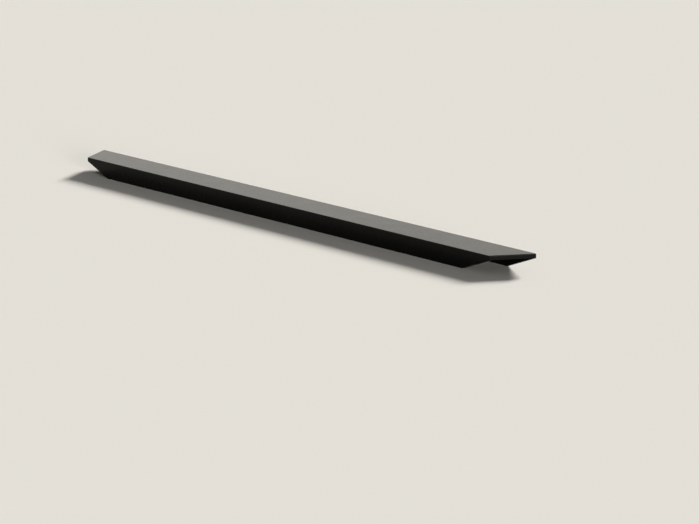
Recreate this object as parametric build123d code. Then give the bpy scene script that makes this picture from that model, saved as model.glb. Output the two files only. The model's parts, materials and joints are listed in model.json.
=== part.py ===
from build123d import *
import os

# A low bar handle for a furniture front, cast as one piece of metal: a long shallow
# channel, open side down, with a top plate, a front lip and a back flange.
# Seen from above the plate is a trapezoid, longer at the back than at the front,
# and the ends of both legs lean in under it.
# Millimetres. X runs along the bar, the lip is at -Y and the mounting face at +Y.
# The bar stands on the feet of its two legs at Z = 0, centred on X and Y.

# Overall sizes, to the sharp corners
rear_length = 314.0
front_length = 292.0
projection = 18.6
height = 8.6

# Walls
plate_thickness = 2.0
lip_thickness = 2.0
flange_thickness = 1.0

# How far each leg's foot stops short of the plate's end
leg_end_run = 17.0

# Rounding of the edges
front_corner_radius = 1.0
rear_corner_radius = 0.5
top_edge_radius = 0.3
leg_edge_radius = 0.3
foot_corner_radius = 1.5
inner_radius = 0.6

# Two tapped blind holes in the mounting face, each in a boss under the plate
hole_spacing = 256.0
thread_diameter = 4.0
hole_depth = 6.0
mouth_chamfer = 0.4
boss_depth = 7.5
boss_foot_clearance = 0.5
boss_nose_radius = 0.5

# How far a cutting shape runs past the metal
overrun = 2.0

# Lines and planes that several features share
front_y = -projection / 2
rear_y = projection / 2
lip_inside_y = front_y + lip_thickness
flange_inside_y = rear_y - flange_thickness
plate_underside = height - plate_thickness
end_slope = (rear_length - front_length) / 2 / projection
hole_z = height / 2
mounting_face = Plane.XZ.offset(-rear_y)


def end_x(y: float) -> float:
    """Half the plate's length at a depth y."""
    return front_length / 2 + end_slope * (y - front_y)


def blank() -> Part:
    """The plate's outline with its corners rounded, raised to the full height."""
    outline = Polygon(
        (-end_x(front_y), front_y),
        (end_x(front_y), front_y),
        (end_x(rear_y), rear_y),
        (-end_x(rear_y), rear_y),
        align=None,
    )
    outline = fillet(outline.vertices().group_by(Axis.Y)[0], front_corner_radius)
    outline = fillet(outline.vertices().group_by(Axis.Y)[-1], rear_corner_radius)
    return extrude(outline, height)


def finger_channel() -> Part:
    """The space between the legs, rounded where it meets the plate."""
    width = flange_inside_y - lip_inside_y
    depth = plate_underside + overrun
    section = Pos(lip_inside_y, -overrun) * Rectangle(width, depth, align=Align.MIN)
    section = fillet(section.vertices().group_by(Axis.Y)[-1], inner_radius)
    return extrude(Plane.YZ * section, rear_length, both=True)


def leg_end_cut() -> Part:
    """The cut that leans the right-hand ends of both legs in under the plate and rounds their feet."""
    start_y = front_y - overrun
    start_x = end_x(start_y)
    foot_x = start_x - leg_end_run
    leg = Polygon(
        (start_x, plate_underside),
        (foot_x, 0),
        (foot_x - leg_end_run, 0),
        (foot_x - leg_end_run, plate_underside),
        align=None,
    )
    foot_corner = leg.vertices().group_by(Axis.Y)[0].sort_by(Axis.X)[-1]
    leg = fillet(foot_corner, foot_corner_radius)
    foot_end = leg.edges().filter_by(GeomType.CIRCLE).vertices().sort_by(Axis.X)[0].X
    length = start_x + overrun - foot_end
    space = Pos(foot_end, -overrun) * Rectangle(length, plate_underside + overrun, align=Align.MIN)
    along_end = Vector(end_slope, 1, 0)
    reach = (projection + 2 * overrun) * along_end.length
    return extrude(Plane.XZ.offset(-start_y) * (space - leg), reach, dir=along_end)


def channel_bar() -> Part:
    """The bar with its channel, its leaning leg ends and all its edges rounded."""
    bar = blank() - finger_channel()
    right_cut = leg_end_cut()
    bar = bar - right_cut - mirror(right_cut, about=Plane.YZ)
    bar = fillet(bar.faces().sort_by(Axis.Z)[-1].edges(), top_edge_radius)
    leg_outlines = bar.edges().filter_by(Plane.XZ)
    leg_outlines = leg_outlines.filter_by_position(Axis.Z, 0, plate_underside - 2 * inner_radius)
    return fillet(leg_outlines, leg_edge_radius)


def screw_boss() -> Part:
    """A boss for one screw at the bar's middle, from the mounting face to its rounded nose."""
    radius = hole_z - boss_foot_clearance
    upper = Rectangle(2 * radius, plate_underside - hole_z, align=(Align.CENTER, Align.MIN))
    lower = Circle(radius) - Rectangle(2 * radius, radius, align=(Align.CENTER, Align.MIN))
    section = upper + lower
    boss = extrude(mounting_face * Pos(0, hole_z) * section, boss_depth)
    nose = boss.faces().sort_by(Axis.Y)[0]
    return fillet(nose.edges().sort_by(Axis.Z)[:-1], boss_nose_radius)


def tapped_hole() -> Part:
    """One hole at its thread's full size, with a chamfered mouth in the mounting face."""
    radius = thread_diameter / 2
    mouth = Cone(
        radius + mouth_chamfer,
        radius,
        mouth_chamfer,
        align=(Align.CENTER, Align.CENTER, Align.MIN),
    )
    hole = Cylinder(radius, hole_depth, align=(Align.CENTER, Align.CENTER, Align.MIN))
    return mounting_face * Pos(0, hole_z) * (hole + mouth)


def bar_handle() -> Part:
    """The whole handle, one solid."""
    screws = GridLocations(hole_spacing, 0, 2, 1)
    handle = channel_bar()
    handle += [place * screw_boss() for place in screws]
    handle -= [place * tapped_hole() for place in screws]
    return handle


os.makedirs("parts", exist_ok=True)
export_step(bar_handle(), "parts/bar_handle.step")
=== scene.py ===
"""The looks of a low black bar handle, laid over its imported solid.

The handle's own solid stays in view and gets a satin black coat. The two tapped holes in its
mounting face get their threads, cut bright through the coat.
Metres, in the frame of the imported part: X runs along the bar, the lip is at -Y, the mounting
face at +Y, and the feet stand on the floor at Z = 0.
"""

import json
import logging
import math
from dataclasses import dataclass, field
from enum import Enum

import bmesh
import bpy
from mathutils import Euler, Matrix, Vector


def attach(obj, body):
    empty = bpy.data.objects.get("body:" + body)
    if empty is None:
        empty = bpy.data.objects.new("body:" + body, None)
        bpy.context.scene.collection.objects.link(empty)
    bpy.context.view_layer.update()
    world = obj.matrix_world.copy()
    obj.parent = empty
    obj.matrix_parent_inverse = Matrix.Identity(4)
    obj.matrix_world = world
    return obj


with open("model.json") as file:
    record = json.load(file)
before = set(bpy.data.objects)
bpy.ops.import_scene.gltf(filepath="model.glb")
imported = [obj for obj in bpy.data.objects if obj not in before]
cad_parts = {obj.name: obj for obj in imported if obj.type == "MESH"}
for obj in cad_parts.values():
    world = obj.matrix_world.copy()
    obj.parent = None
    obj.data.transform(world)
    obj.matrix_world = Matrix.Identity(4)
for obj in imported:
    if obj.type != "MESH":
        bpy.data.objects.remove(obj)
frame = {"nodes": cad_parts, "record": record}

log = logging.getLogger("bar_handle")

Colour = tuple[float, float, float]
PerAxis = tuple[float, float, float]

MM = 0.001
MICRON = 0.000001
DAYLIGHT: Colour = (1.0, 0.97, 0.9)
BODY = "root"
SCREW_MOUNT = "screw_holes"


class End(Enum):
    """The two ends of the bar, by the sign of their X."""

    LEFT = -1
    RIGHT = 1


def direction(azimuth: float, elevation: float) -> Vector:
    """Finds the way from the handle to something that stands round it.

    Args:
        azimuth: the angle round the handle in degrees, 0 off the lip and 90 off the right-hand end.
        elevation: the angle above the floor in degrees.

    Returns:
        The unit vector that points there.
    """
    turn = math.radians(azimuth)
    lift = math.radians(elevation)
    flat = math.cos(lift)
    return Vector((math.sin(turn) * flat, -math.cos(turn) * flat, math.sin(lift)))


def looking_back(way: Vector) -> Euler:
    """Gives the turn of a lamp or a camera that looks back along a way from the handle."""
    return (-way).to_track_quat("-Z", "Y").to_euler()


class NodeSheet:
    """A material's node tree, with short calls to add nodes and wire them."""

    # Most of a noise lies between these two values
    WEAK = 0.3
    STRONG = 0.7

    def __init__(self, name: str) -> None:
        """Starts a material that holds one shader and its output.

        Args:
            name: the material's name.
        """
        self.material = bpy.data.materials.new(name)
        self.material.use_nodes = True
        self.tree = self.material.node_tree
        self.tree.nodes.clear()
        self.shader = self.add("ShaderNodeBsdfPrincipled")
        output = self.add("ShaderNodeOutputMaterial")
        self.wire(self.shader.outputs["BSDF"], output.inputs["Surface"])
        self.place = self.add("ShaderNodeTexCoord").outputs["Object"]

    def add(self, kind: str, **settings: object) -> bpy.types.Node:
        """Adds one node.

        Args:
            kind: the node's type.
            settings: properties to set on the node.

        Returns:
            The new node.
        """
        node = self.tree.nodes.new(kind)
        for name, value in settings.items():
            setattr(node, name, value)
        return node

    def wire(self, source: bpy.types.NodeSocket, target: bpy.types.NodeSocket) -> None:
        """Links an output to an input."""
        self.tree.links.new(source, target)

    def noise(self, grain: float, layers: int, stretch: PerAxis = (1, 1, 1)) -> bpy.types.NodeSocket:
        """Adds a noise that is fixed to the piece.

        Args:
            grain: the size of its blotches, in metres.
            layers: how many finer layers it has.
            stretch: how much longer the blotches are along each axis.

        Returns:
            The noise's value, about 0 to 1.
        """
        mapping = self.add("ShaderNodeMapping")
        mapping.inputs["Scale"].default_value = [1 / length for length in stretch]
        self.wire(self.place, mapping.inputs["Vector"])
        noise = self.add("ShaderNodeTexNoise")
        noise.inputs["Scale"].default_value = 1 / grain
        noise.inputs["Detail"].default_value = layers
        self.wire(mapping.outputs["Vector"], noise.inputs["Vector"])
        return noise.outputs["Fac"]

    def spread(self, value: bpy.types.NodeSocket, low: float, high: float) -> bpy.types.NodeSocket:
        """Maps the middle of a noise to a range.

        Args:
            value: the noise.
            low: the result where the noise is weak.
            high: the result where the noise is strong.

        Returns:
            The mapped value.
        """
        node = self.add("ShaderNodeMapRange", interpolation_type="SMOOTHSTEP")
        node.inputs["From Min"].default_value = self.WEAK
        node.inputs["From Max"].default_value = self.STRONG
        node.inputs["To Min"].default_value = low
        node.inputs["To Max"].default_value = high
        self.wire(value, node.inputs["Value"])
        return node.outputs["Result"]

    def tones(self, factor: bpy.types.NodeSocket, first: Colour, second: Colour) -> bpy.types.NodeSocket:
        """Mixes two colours.

        Args:
            factor: how much of the second colour shows, 0 to 1.
            first: the first colour, linear.
            second: the second colour, linear.

        Returns:
            The mixed colour.
        """
        ramp = self.add("ShaderNodeValToRGB")
        ramp.color_ramp.elements[0].color = (*first, 1)
        ramp.color_ramp.elements[1].color = (*second, 1)
        self.wire(factor, ramp.inputs["Fac"])
        return ramp.outputs["Color"]

    def relief(
        self,
        height: bpy.types.NodeSocket,
        depth: float,
        under: bpy.types.NodeSocket | None = None,
    ) -> bpy.types.NodeSocket:
        """Turns a noise into a relief.

        Args:
            height: the noise.
            depth: how high the relief stands, in metres.
            under: a normal that the relief lies on.

        Returns:
            The surface's normal.
        """
        bump = self.add("ShaderNodeBump")
        bump.inputs["Strength"].default_value = 1
        bump.inputs["Distance"].default_value = depth
        self.wire(height, bump.inputs["Height"])
        if under is not None:
            self.wire(under, bump.inputs["Normal"])
        return bump.outputs["Normal"]


@dataclass(frozen=True)
class SatinBlackCoat:
    """Baked black powder coat: near black, an even satin sheen and a faint orange peel."""

    pigment: Colour = (0.0014, 0.0013, 0.0012)
    bloom: Colour = (0.0024, 0.0023, 0.0021)
    bloom_size: float = 22 * MM
    bloom_layers: int = 4
    roughness_low: float = 0.26
    roughness_high: float = 0.28
    roughness_size: float = 9 * MM
    roughness_layers: int = 3
    peel_size: float = 1.3 * MM
    peel_layers: int = 1
    peel_depth: float = 3.5 * MICRON
    grain_size: float = 0.25 * MM
    grain_layers: int = 1
    grain_depth: float = 0.8 * MICRON
    refraction: float = 1.18

    def material(self) -> bpy.types.Material:
        """Builds the coat's node tree.

        Returns:
            The material.
        """
        sheet = NodeSheet("satin_black_coat")
        shader = sheet.shader.inputs
        bloom = sheet.spread(sheet.noise(self.bloom_size, self.bloom_layers), 0, 1)
        sheet.wire(sheet.tones(bloom, self.pigment, self.bloom), shader["Base Color"])
        blotches = sheet.noise(self.roughness_size, self.roughness_layers)
        sheet.wire(sheet.spread(blotches, self.roughness_low, self.roughness_high), shader["Roughness"])
        shader["IOR"].default_value = self.refraction
        peel = sheet.relief(sheet.noise(self.peel_size, self.peel_layers), self.peel_depth)
        grain = sheet.relief(sheet.noise(self.grain_size, self.grain_layers), self.grain_depth, peel)
        sheet.wire(grain, shader["Normal"])
        return sheet.material


@dataclass(frozen=True)
class CutZinc:
    """Zinc alloy that a tap has cut bright, with the tap's fine rings round the hole."""

    bright: Colour = (0.36, 0.36, 0.37)
    dull: Colour = (0.21, 0.21, 0.22)
    stain_size: float = 1.1 * MM
    stain_layers: int = 4
    ring_size: float = 0.12 * MM
    ring_layers: int = 2
    ring_length: float = 8.0
    ring_depth: float = 4 * MICRON
    roughness_low: float = 0.24
    roughness_high: float = 0.42

    def material(self) -> bpy.types.Material:
        """Builds the metal's node tree.

        Returns:
            The material.
        """
        sheet = NodeSheet("cut_zinc")
        shader = sheet.shader.inputs
        shader["Metallic"].default_value = 1
        stain = sheet.spread(sheet.noise(self.stain_size, self.stain_layers), 0, 1)
        sheet.wire(sheet.tones(stain, self.bright, self.dull), shader["Base Color"])
        along_rings = (self.ring_length, 1, self.ring_length)
        rings = sheet.noise(self.ring_size, self.ring_layers, along_rings)
        sheet.wire(sheet.spread(rings, self.roughness_low, self.roughness_high), shader["Roughness"])
        sheet.wire(sheet.relief(rings, self.ring_depth), shader["Normal"])
        return sheet.material


@dataclass
class HandleBody:
    """The handle's own solid, one casting, which is dressed where it stands."""

    node: str = "bar_handle"
    coat: SatinBlackCoat = field(default_factory=SatinBlackCoat)

    def dress(self) -> bpy.types.Object:
        """Coats every face of the casting.

        Returns:
            The casting's object.
        """
        body = frame["nodes"][self.node]
        coat = self.coat.material()
        for slot in body.material_slots:
            slot.material = coat
        return body


@dataclass
class ScrewThread:
    """The internal thread of one tapped hole: a threaded sleeve let into the hole's wall."""

    end: End
    # The profile: the shares of the pitch that its flat root and crest take
    pitch: float = 0.7 * MM
    root_share: float = 1 / 8
    crest_share: float = 1 / 4
    flank_angle: float = math.radians(30)
    # Where the thread runs, from the mounting face inwards, and the turns wound before it is trimmed
    start: float = 0.45 * MM
    stop: float = 5.2 * MM
    lead_in: int = 2
    # How far the root stands out of the hole's wall, and how deep the sleeve sits in it
    proud: float = 0.012 * MM
    seat: float = 0.06 * MM
    # The mesh
    steps: int = 48
    sharp_angle: float = math.radians(20)
    weld: float = 0.0005 * MM
    metal: CutZinc = field(default_factory=CutZinc)

    def hole(self) -> tuple[Matrix, float]:
        """Finds this hole in the record's screw pattern.

        Returns:
            The matrix from the hole's own frame, with Z into the metal, and the hole's radius.
        """
        pattern = next(mount for mount in frame["record"]["mounts"] if mount["name"] == SCREW_MOUNT)
        middle = Vector(pattern["pos_m"])
        aside = Vector((self.end.value * pattern["dims"]["spacing_x_mm"] * MM / 2, 0, 0))
        inwards = -Vector(pattern["axis"])
        turn = inwards.to_track_quat("Z", "Y").to_matrix().to_4x4()
        return Matrix.Translation(middle + aside) @ turn, pattern["dims"]["hole_r_mm"] * MM

    def wind(self, bm: bmesh.types.BMesh, radius: float) -> None:
        """Winds the thread's profile, one pitch of root, flank, crest and flank, into a helix.

        Args:
            bm: the mesh that takes the thread.
            radius: the thread's largest radius.
        """
        root = self.pitch * self.root_share
        flank = self.pitch * (1 - self.root_share - self.crest_share) / 2
        crest_radius = radius - flank / math.tan(self.flank_angle)
        low = self.start - self.lead_in * self.pitch
        profile = (
            (radius, low),
            (radius, low + root),
            (crest_radius, low + root + flank),
            (crest_radius, low + self.pitch - flank),
            (radius, low + self.pitch),
        )
        points = [bm.verts.new((across, 0, along)) for across, along in profile]
        lines = [bm.edges.new(pair) for pair in zip(points, points[1:])]
        turns = math.ceil((self.stop - self.start) / self.pitch) + self.lead_in
        bmesh.ops.spin(
            bm,
            geom=points + lines,
            cent=(0, 0, 0),
            axis=(0, 0, 1),
            dvec=(0, 0, self.pitch / self.steps),
            angle=math.tau * turns,
            steps=self.steps * turns,
            use_merge=False,
        )
        bmesh.ops.remove_doubles(bm, verts=bm.verts, dist=self.weld)

    def trim(self, bm: bmesh.types.BMesh) -> None:
        """Cuts the helix square at both ends of the thread.

        Args:
            bm: the mesh that holds the helix.
        """
        for height, side in ((self.start, -1), (self.stop, 1)):
            bmesh.ops.bisect_plane(
                bm,
                geom=bm.verts[:] + bm.edges[:] + bm.faces[:],
                dist=self.weld,
                plane_co=(0, 0, height),
                plane_no=(0, 0, side),
                clear_outer=True,
            )

    def close(self, bm: bmesh.types.BMesh, radius: float) -> None:
        """Closes the helix into a sleeve whose outside lies in the wall of the hole.

        Args:
            bm: the mesh that holds the trimmed helix.
            radius: the radius of the sleeve's outside.
        """
        rims = [edge for edge in bm.edges if edge.is_boundary]
        skirt = bmesh.ops.extrude_edge_only(bm, edges=rims)["geom"]
        for vert in (part for part in skirt if isinstance(part, bmesh.types.BMVert)):
            vert.co.xy = vert.co.xy.normalized() * radius
        outside = [edge for edge in bm.edges if edge.is_boundary]
        bmesh.ops.bridge_loops(bm, edges=outside)
        bmesh.ops.recalc_face_normals(bm, faces=bm.faces)

    def build(self) -> bpy.types.Object:
        """Models the sleeve in its hole and gives it its finish.

        Returns:
            The thread's object.
        """
        place, radius = self.hole()
        bm = bmesh.new()
        self.wind(bm, radius - self.proud)
        self.trim(bm)
        self.close(bm, radius + self.seat)
        bmesh.ops.transform(bm, matrix=place, verts=bm.verts)
        name = f"thread_{self.end.name.lower()}"
        mesh = bpy.data.meshes.new(name)
        bm.to_mesh(mesh)
        bm.free()
        mesh.shade_smooth()
        mesh.set_sharp_from_angle(angle=self.sharp_angle)
        mesh.materials.append(self.metal.material())
        thread = bpy.data.objects.new(name, mesh)
        bpy.context.scene.collection.objects.link(thread)
        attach(thread, BODY)
        return thread


@dataclass(frozen=True)
class WindowLight:
    """Even soft light from far off, which fills a wide stretch of the sky. Its angles are in degrees."""

    name: str
    azimuth: float
    elevation: float
    spread: float
    strength: float
    tint: Colour = DAYLIGHT

    def hang(self) -> bpy.types.Object:
        """Turns the light towards the handle.

        Returns:
            The lamp's object.
        """
        lamp = bpy.data.lights.new(self.name, "SUN")
        lamp.angle = math.radians(self.spread)
        lamp.energy = self.strength
        lamp.color = self.tint
        window = bpy.data.objects.new(self.name, lamp)
        window.rotation_euler = looking_back(direction(self.azimuth, self.elevation))
        bpy.context.scene.collection.objects.link(window)
        return window


@dataclass(frozen=True)
class Studio:
    """A pale matt floor in soft light from three wide windows, in a room of one pale tone."""

    floor_tone: Colour = (0.84, 0.835, 0.825)
    floor_gloss: float = 0.0
    floor_size: float = 12.0
    room_tone: Colour = DAYLIGHT
    room_brightness: float = 1.0
    room_glow: float = 0.08
    windows: tuple[WindowLight, ...] = (
        WindowLight("back_window", azimuth=192, elevation=24, spread=14, strength=5.7),
        WindowLight("side_window", azimuth=70, elevation=6, spread=16, strength=2.5),
        WindowLight("low_window", azimuth=229, elevation=14, spread=44, strength=0.2),
    )

    def lay_floor(self) -> bpy.types.Object:
        """Lays the floor that the feet stand on.

        Returns:
            The floor's object.
        """
        bm = bmesh.new()
        bmesh.ops.create_grid(bm, x_segments=1, y_segments=1, size=self.floor_size / 2)
        mesh = bpy.data.meshes.new("floor")
        bm.to_mesh(mesh)
        bm.free()
        sheet = NodeSheet("pale_floor")
        sheet.shader.inputs["Base Color"].default_value = (*self.floor_tone, 1)
        sheet.shader.inputs["Specular IOR Level"].default_value = self.floor_gloss
        mesh.materials.append(sheet.material)
        floor = bpy.data.objects.new("floor", mesh)
        bpy.context.scene.collection.objects.link(floor)
        return floor

    def fill_room(self) -> None:
        """Shows the room's tone to the camera and to gloss, and lights the rest with a dimmer glow."""
        world = bpy.data.worlds.new("room")
        world.use_nodes = True
        tree = world.node_tree
        background = tree.nodes["Background"]
        background.inputs["Color"].default_value = (*self.room_tone, 1)
        rays = tree.nodes.new("ShaderNodeLightPath")
        seen = rays.outputs["Is Camera Ray"]
        for kind in ("Is Glossy Ray", "Is Transmission Ray"):
            either = tree.nodes.new("ShaderNodeMath")
            either.operation = "MAXIMUM"
            tree.links.new(seen, either.inputs[0])
            tree.links.new(rays.outputs[kind], either.inputs[1])
            seen = either.outputs["Value"]
        level = tree.nodes.new("ShaderNodeMapRange")
        level.inputs["To Min"].default_value = self.room_glow
        level.inputs["To Max"].default_value = self.room_brightness
        tree.links.new(seen, level.inputs["Value"])
        tree.links.new(level.outputs["Result"], background.inputs["Strength"])
        bpy.context.scene.world = world

    def build(self) -> None:
        """Lays the floor, fills the room and hangs the lights."""
        self.lay_floor()
        self.fill_room()
        for window in self.windows:
            window.hang()


@dataclass(frozen=True)
class PhotoCamera:
    """A long lens off the right-hand front corner, at the photograph's viewing angle, in degrees."""

    azimuth: float = 48.394
    elevation: float = 13.467
    distance: float = 1.23598
    to_the_right: float = 30.14 * MM
    upwards: float = -21.16 * MM
    lens: float = 134.36
    sensor: float = 36.0
    near: float = 0.05
    far: float = 50.0

    def build(self) -> bpy.types.Object:
        """Sets the camera up and makes it the scene's own.

        Returns:
            The camera's object.
        """
        back = direction(self.azimuth, self.elevation)
        right = Vector((0, 0, 1)).cross(back).normalized()
        up = back.cross(right)
        data = bpy.data.cameras.new("photo_camera")
        data.lens = self.lens
        data.sensor_width = self.sensor
        data.clip_start = self.near
        data.clip_end = self.far
        camera = bpy.data.objects.new("photo_camera", data)
        camera.location = back * self.distance + right * self.to_the_right + up * self.upwards
        camera.rotation_euler = looking_back(back)
        bpy.context.scene.collection.objects.link(camera)
        bpy.context.scene.camera = camera
        return camera


def main() -> None:
    """Builds the handle's pieces, the studio and the camera in order."""
    logging.basicConfig(level=logging.INFO, format="%(name)s: %(message)s")
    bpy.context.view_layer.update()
    bpy.context.scene.view_settings.view_transform = "Standard"
    body = HandleBody().dress()
    log.info("%s is coated", body.name)
    for end in End:
        thread = ScrewThread(end).build()
        log.info("%s has %d faces", thread.name, len(thread.data.polygons))
    Studio().build()
    log.info("studio is lit")
    camera = PhotoCamera().build()
    log.info("%s stands at %s", camera.name, tuple(camera.location))


if __name__ == "__main__":
    main()
